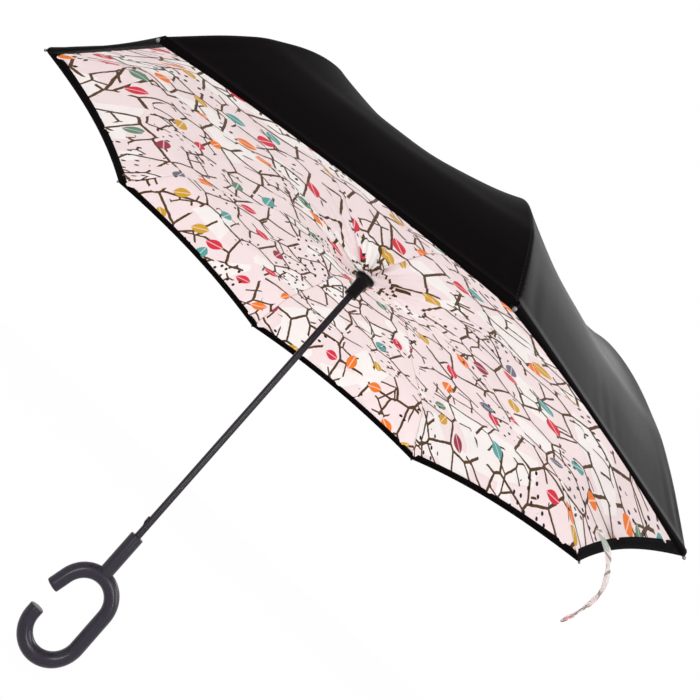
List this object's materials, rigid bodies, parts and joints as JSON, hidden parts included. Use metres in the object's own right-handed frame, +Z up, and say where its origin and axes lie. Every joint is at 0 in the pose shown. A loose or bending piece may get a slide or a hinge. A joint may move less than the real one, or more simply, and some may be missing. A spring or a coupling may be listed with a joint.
{
  "type": "reverse folding umbrella",
  "caption": "Open reverse-folding stick umbrella with a C-shaped hand loop, double canopy, dark outside and pale printed inside, and a closing strap.",
  "frame": {"origin": "centre of the C-shaped hand loop, on the shaft axis", "axes": "+Z up along the shaft to the crown; the hand loop lies in the XZ plane and opens towards -X; a rib lies along +X"},
  "size_m": [1.0732, 1.0732, 0.8095],
  "materials": {
    "grip_rubber": "satin soft-touch",
    "black_metal": "satin",
    "catch_metal": "satin",
    "crown_plastic": "matte",
    "hub_plastic": "matte",
    "cap_plastic": "satin",
    "runner_plastic": "satin",
    "wire_steel": "plain",
    "rib_metal": "satin",
    "rod_glass_fibre": "satin",
    "tip_metal": "satin",
    "outer_cloth": "matte black pongee",
    "inner_cloth": "matte printed pongee",
    "snap_metal": "satin"
  },
  "bodies": {
    "shaft": {"handle": "grip_rubber", "shaft_tube": "black_metal", "crown": "crown_plastic", "crown_wire": "wire_steel", "top_cap": "cap_plastic", "outer_canopy": "outer_cloth"},
    "catch": {"lower_catch": "catch_metal"},
    "runner": {"runner_sleeve": "runner_plastic", "runner_hub": "hub_plastic", "runner_wire": "wire_steel", "inner_canopy": "inner_cloth"},
    "stretcher_1_arm": {"stretcher_1": "rib_metal"},
    "rib_1_arm": {"rib_1": "rib_metal"},
    "rod_1_arm": {"outer_rod_1": "rod_glass_fibre", "rib_tip_1": "tip_metal", "strap": "inner_cloth", "strap_snap": "snap_metal"},
    "stretcher_2_arm": {"stretcher_2": "rib_metal"},
    "rib_2_arm": {"rib_2": "rib_metal"},
    "rod_2_arm": {"outer_rod_2": "rod_glass_fibre", "rib_tip_2": "tip_metal"},
    "stretcher_3_arm": {"stretcher_3": "rib_metal"},
    "rib_3_arm": {"rib_3": "rib_metal"},
    "rod_3_arm": {"outer_rod_3": "rod_glass_fibre", "rib_tip_3": "tip_metal"},
    "stretcher_4_arm": {"stretcher_4": "rib_metal"},
    "rib_4_arm": {"rib_4": "rib_metal"},
    "rod_4_arm": {"outer_rod_4": "rod_glass_fibre", "rib_tip_4": "tip_metal"},
    "stretcher_5_arm": {"stretcher_5": "rib_metal"},
    "rib_5_arm": {"rib_5": "rib_metal"},
    "rod_5_arm": {"outer_rod_5": "rod_glass_fibre", "rib_tip_5": "tip_metal"},
    "stretcher_6_arm": {"stretcher_6": "rib_metal"},
    "rib_6_arm": {"rib_6": "rib_metal"},
    "rod_6_arm": {"outer_rod_6": "rod_glass_fibre", "rib_tip_6": "tip_metal"},
    "stretcher_7_arm": {"stretcher_7": "rib_metal"},
    "rib_7_arm": {"rib_7": "rib_metal"},
    "rod_7_arm": {"outer_rod_7": "rod_glass_fibre", "rib_tip_7": "tip_metal"},
    "stretcher_8_arm": {"stretcher_8": "rib_metal"},
    "rib_8_arm": {"rib_8": "rib_metal"},
    "rod_8_arm": {"outer_rod_8": "rod_glass_fibre", "rib_tip_8": "tip_metal"}
  },
  "joints": [
    {"name": "fold", "type": "hinge", "parent": "shaft", "child": "stretcher_1_arm", "pos_m": [0.013, 0, 0.705], "axis": [0, 1, 0], "range_deg": [0, 73], "deforming": ["outer_canopy", "inner_canopy", "strap"]},
    {"name": "elbow_1", "type": "hinge", "parent": "stretcher_1_arm", "child": "rib_1_arm", "pos_m": [0.25446, 0, 0.6635], "axis": [0, -1, 0], "range_deg": [0, 146]},
    {"name": "flex_1", "type": "hinge", "parent": "rib_1_arm", "child": "rod_1_arm", "pos_m": [0.33505, 0, 0.6712], "axis": [0, -1, 0], "range_deg": [0, 55]},
    {"name": "fold_2", "type": "hinge", "parent": "shaft", "child": "stretcher_2_arm", "pos_m": [0.00919, 0.00919, 0.705], "axis": [-0.7071, 0.7071, 0], "range_deg": [0, 73]},
    {"name": "elbow_2", "type": "hinge", "parent": "stretcher_2_arm", "child": "rib_2_arm", "pos_m": [0.17993, 0.17993, 0.6635], "axis": [0.7071, -0.7071, 0], "range_deg": [0, 146]},
    {"name": "flex_2", "type": "hinge", "parent": "rib_2_arm", "child": "rod_2_arm", "pos_m": [0.23692, 0.23692, 0.6712], "axis": [0.7071, -0.7071, 0], "range_deg": [0, 55]},
    {"name": "fold_3", "type": "hinge", "parent": "shaft", "child": "stretcher_3_arm", "pos_m": [0, 0.013, 0.705], "axis": [-1, 0, 0], "range_deg": [0, 73]},
    {"name": "elbow_3", "type": "hinge", "parent": "stretcher_3_arm", "child": "rib_3_arm", "pos_m": [0, 0.25446, 0.6635], "axis": [1, 0, 0], "range_deg": [0, 146]},
    {"name": "flex_3", "type": "hinge", "parent": "rib_3_arm", "child": "rod_3_arm", "pos_m": [0, 0.33505, 0.6712], "axis": [1, 0, 0], "range_deg": [0, 55]},
    {"name": "fold_4", "type": "hinge", "parent": "shaft", "child": "stretcher_4_arm", "pos_m": [-0.00919, 0.00919, 0.705], "axis": [-0.7071, -0.7071, 0], "range_deg": [0, 73]},
    {"name": "elbow_4", "type": "hinge", "parent": "stretcher_4_arm", "child": "rib_4_arm", "pos_m": [-0.17993, 0.17993, 0.6635], "axis": [0.7071, 0.7071, 0], "range_deg": [0, 146]},
    {"name": "flex_4", "type": "hinge", "parent": "rib_4_arm", "child": "rod_4_arm", "pos_m": [-0.23692, 0.23692, 0.6712], "axis": [0.7071, 0.7071, 0], "range_deg": [0, 55]},
    {"name": "fold_5", "type": "hinge", "parent": "shaft", "child": "stretcher_5_arm", "pos_m": [-0.013, 0, 0.705], "axis": [0, -1, 0], "range_deg": [0, 73]},
    {"name": "elbow_5", "type": "hinge", "parent": "stretcher_5_arm", "child": "rib_5_arm", "pos_m": [-0.25446, 0, 0.6635], "axis": [0, 1, 0], "range_deg": [0, 146]},
    {"name": "flex_5", "type": "hinge", "parent": "rib_5_arm", "child": "rod_5_arm", "pos_m": [-0.33505, 0, 0.6712], "axis": [0, 1, 0], "range_deg": [0, 55]},
    {"name": "fold_6", "type": "hinge", "parent": "shaft", "child": "stretcher_6_arm", "pos_m": [-0.00919, -0.00919, 0.705], "axis": [0.7071, -0.7071, 0], "range_deg": [0, 73]},
    {"name": "elbow_6", "type": "hinge", "parent": "stretcher_6_arm", "child": "rib_6_arm", "pos_m": [-0.17993, -0.17993, 0.6635], "axis": [-0.7071, 0.7071, 0], "range_deg": [0, 146]},
    {"name": "flex_6", "type": "hinge", "parent": "rib_6_arm", "child": "rod_6_arm", "pos_m": [-0.23692, -0.23692, 0.6712], "axis": [-0.7071, 0.7071, 0], "range_deg": [0, 55]},
    {"name": "fold_7", "type": "hinge", "parent": "shaft", "child": "stretcher_7_arm", "pos_m": [0, -0.013, 0.705], "axis": [1, 0, 0], "range_deg": [0, 73]},
    {"name": "elbow_7", "type": "hinge", "parent": "stretcher_7_arm", "child": "rib_7_arm", "pos_m": [0, -0.25446, 0.6635], "axis": [-1, 0, 0], "range_deg": [0, 146]},
    {"name": "flex_7", "type": "hinge", "parent": "rib_7_arm", "child": "rod_7_arm", "pos_m": [0, -0.33505, 0.6712], "axis": [-1, 0, 0], "range_deg": [0, 55]},
    {"name": "fold_8", "type": "hinge", "parent": "shaft", "child": "stretcher_8_arm", "pos_m": [0.00919, -0.00919, 0.705], "axis": [0.7071, 0.7071, 0], "range_deg": [0, 73]},
    {"name": "elbow_8", "type": "hinge", "parent": "stretcher_8_arm", "child": "rib_8_arm", "pos_m": [0.17993, -0.17993, 0.6635], "axis": [-0.7071, -0.7071, 0], "range_deg": [0, 146]},
    {"name": "flex_8", "type": "hinge", "parent": "rib_8_arm", "child": "rod_8_arm", "pos_m": [0.23692, -0.23692, 0.6712], "axis": [-0.7071, -0.7071, 0], "range_deg": [0, 55]},
    {"name": "runner_pivot", "type": "hinge", "parent": "rib_1_arm", "child": "runner", "pos_m": [0.013, 0, 0.622], "axis": [0, 1, 0], "range_deg": [0, 73]},
    {"name": "catch_press", "type": "slide", "parent": "shaft", "child": "catch", "axis": [1, 0, 0], "range_m": [0, 0.0018], "stiffness_N_per_m": 400, "springref_m": -0.001}
  ],
  "couplings": [
    {"joint": "elbow_1", "follows": "fold", "ratio": 2},
    {"joint": "flex_1", "follows": "fold", "ratio": 0.75343},
    {"joint": "fold_2", "follows": "fold", "ratio": 1},
    {"joint": "elbow_2", "follows": "fold", "ratio": 2},
    {"joint": "flex_2", "follows": "fold", "ratio": 0.75343},
    {"joint": "fold_3", "follows": "fold", "ratio": 1},
    {"joint": "elbow_3", "follows": "fold", "ratio": 2},
    {"joint": "flex_3", "follows": "fold", "ratio": 0.75343},
    {"joint": "fold_4", "follows": "fold", "ratio": 1},
    {"joint": "elbow_4", "follows": "fold", "ratio": 2},
    {"joint": "flex_4", "follows": "fold", "ratio": 0.75343},
    {"joint": "fold_5", "follows": "fold", "ratio": 1},
    {"joint": "elbow_5", "follows": "fold", "ratio": 2},
    {"joint": "flex_5", "follows": "fold", "ratio": 0.75343},
    {"joint": "fold_6", "follows": "fold", "ratio": 1},
    {"joint": "elbow_6", "follows": "fold", "ratio": 2},
    {"joint": "flex_6", "follows": "fold", "ratio": 0.75343},
    {"joint": "fold_7", "follows": "fold", "ratio": 1},
    {"joint": "elbow_7", "follows": "fold", "ratio": 2},
    {"joint": "flex_7", "follows": "fold", "ratio": 0.75343},
    {"joint": "fold_8", "follows": "fold", "ratio": 1},
    {"joint": "elbow_8", "follows": "fold", "ratio": 2},
    {"joint": "flex_8", "follows": "fold", "ratio": 0.75343},
    {"joint": "runner_pivot", "follows": "fold", "ratio": 1}
  ]
}
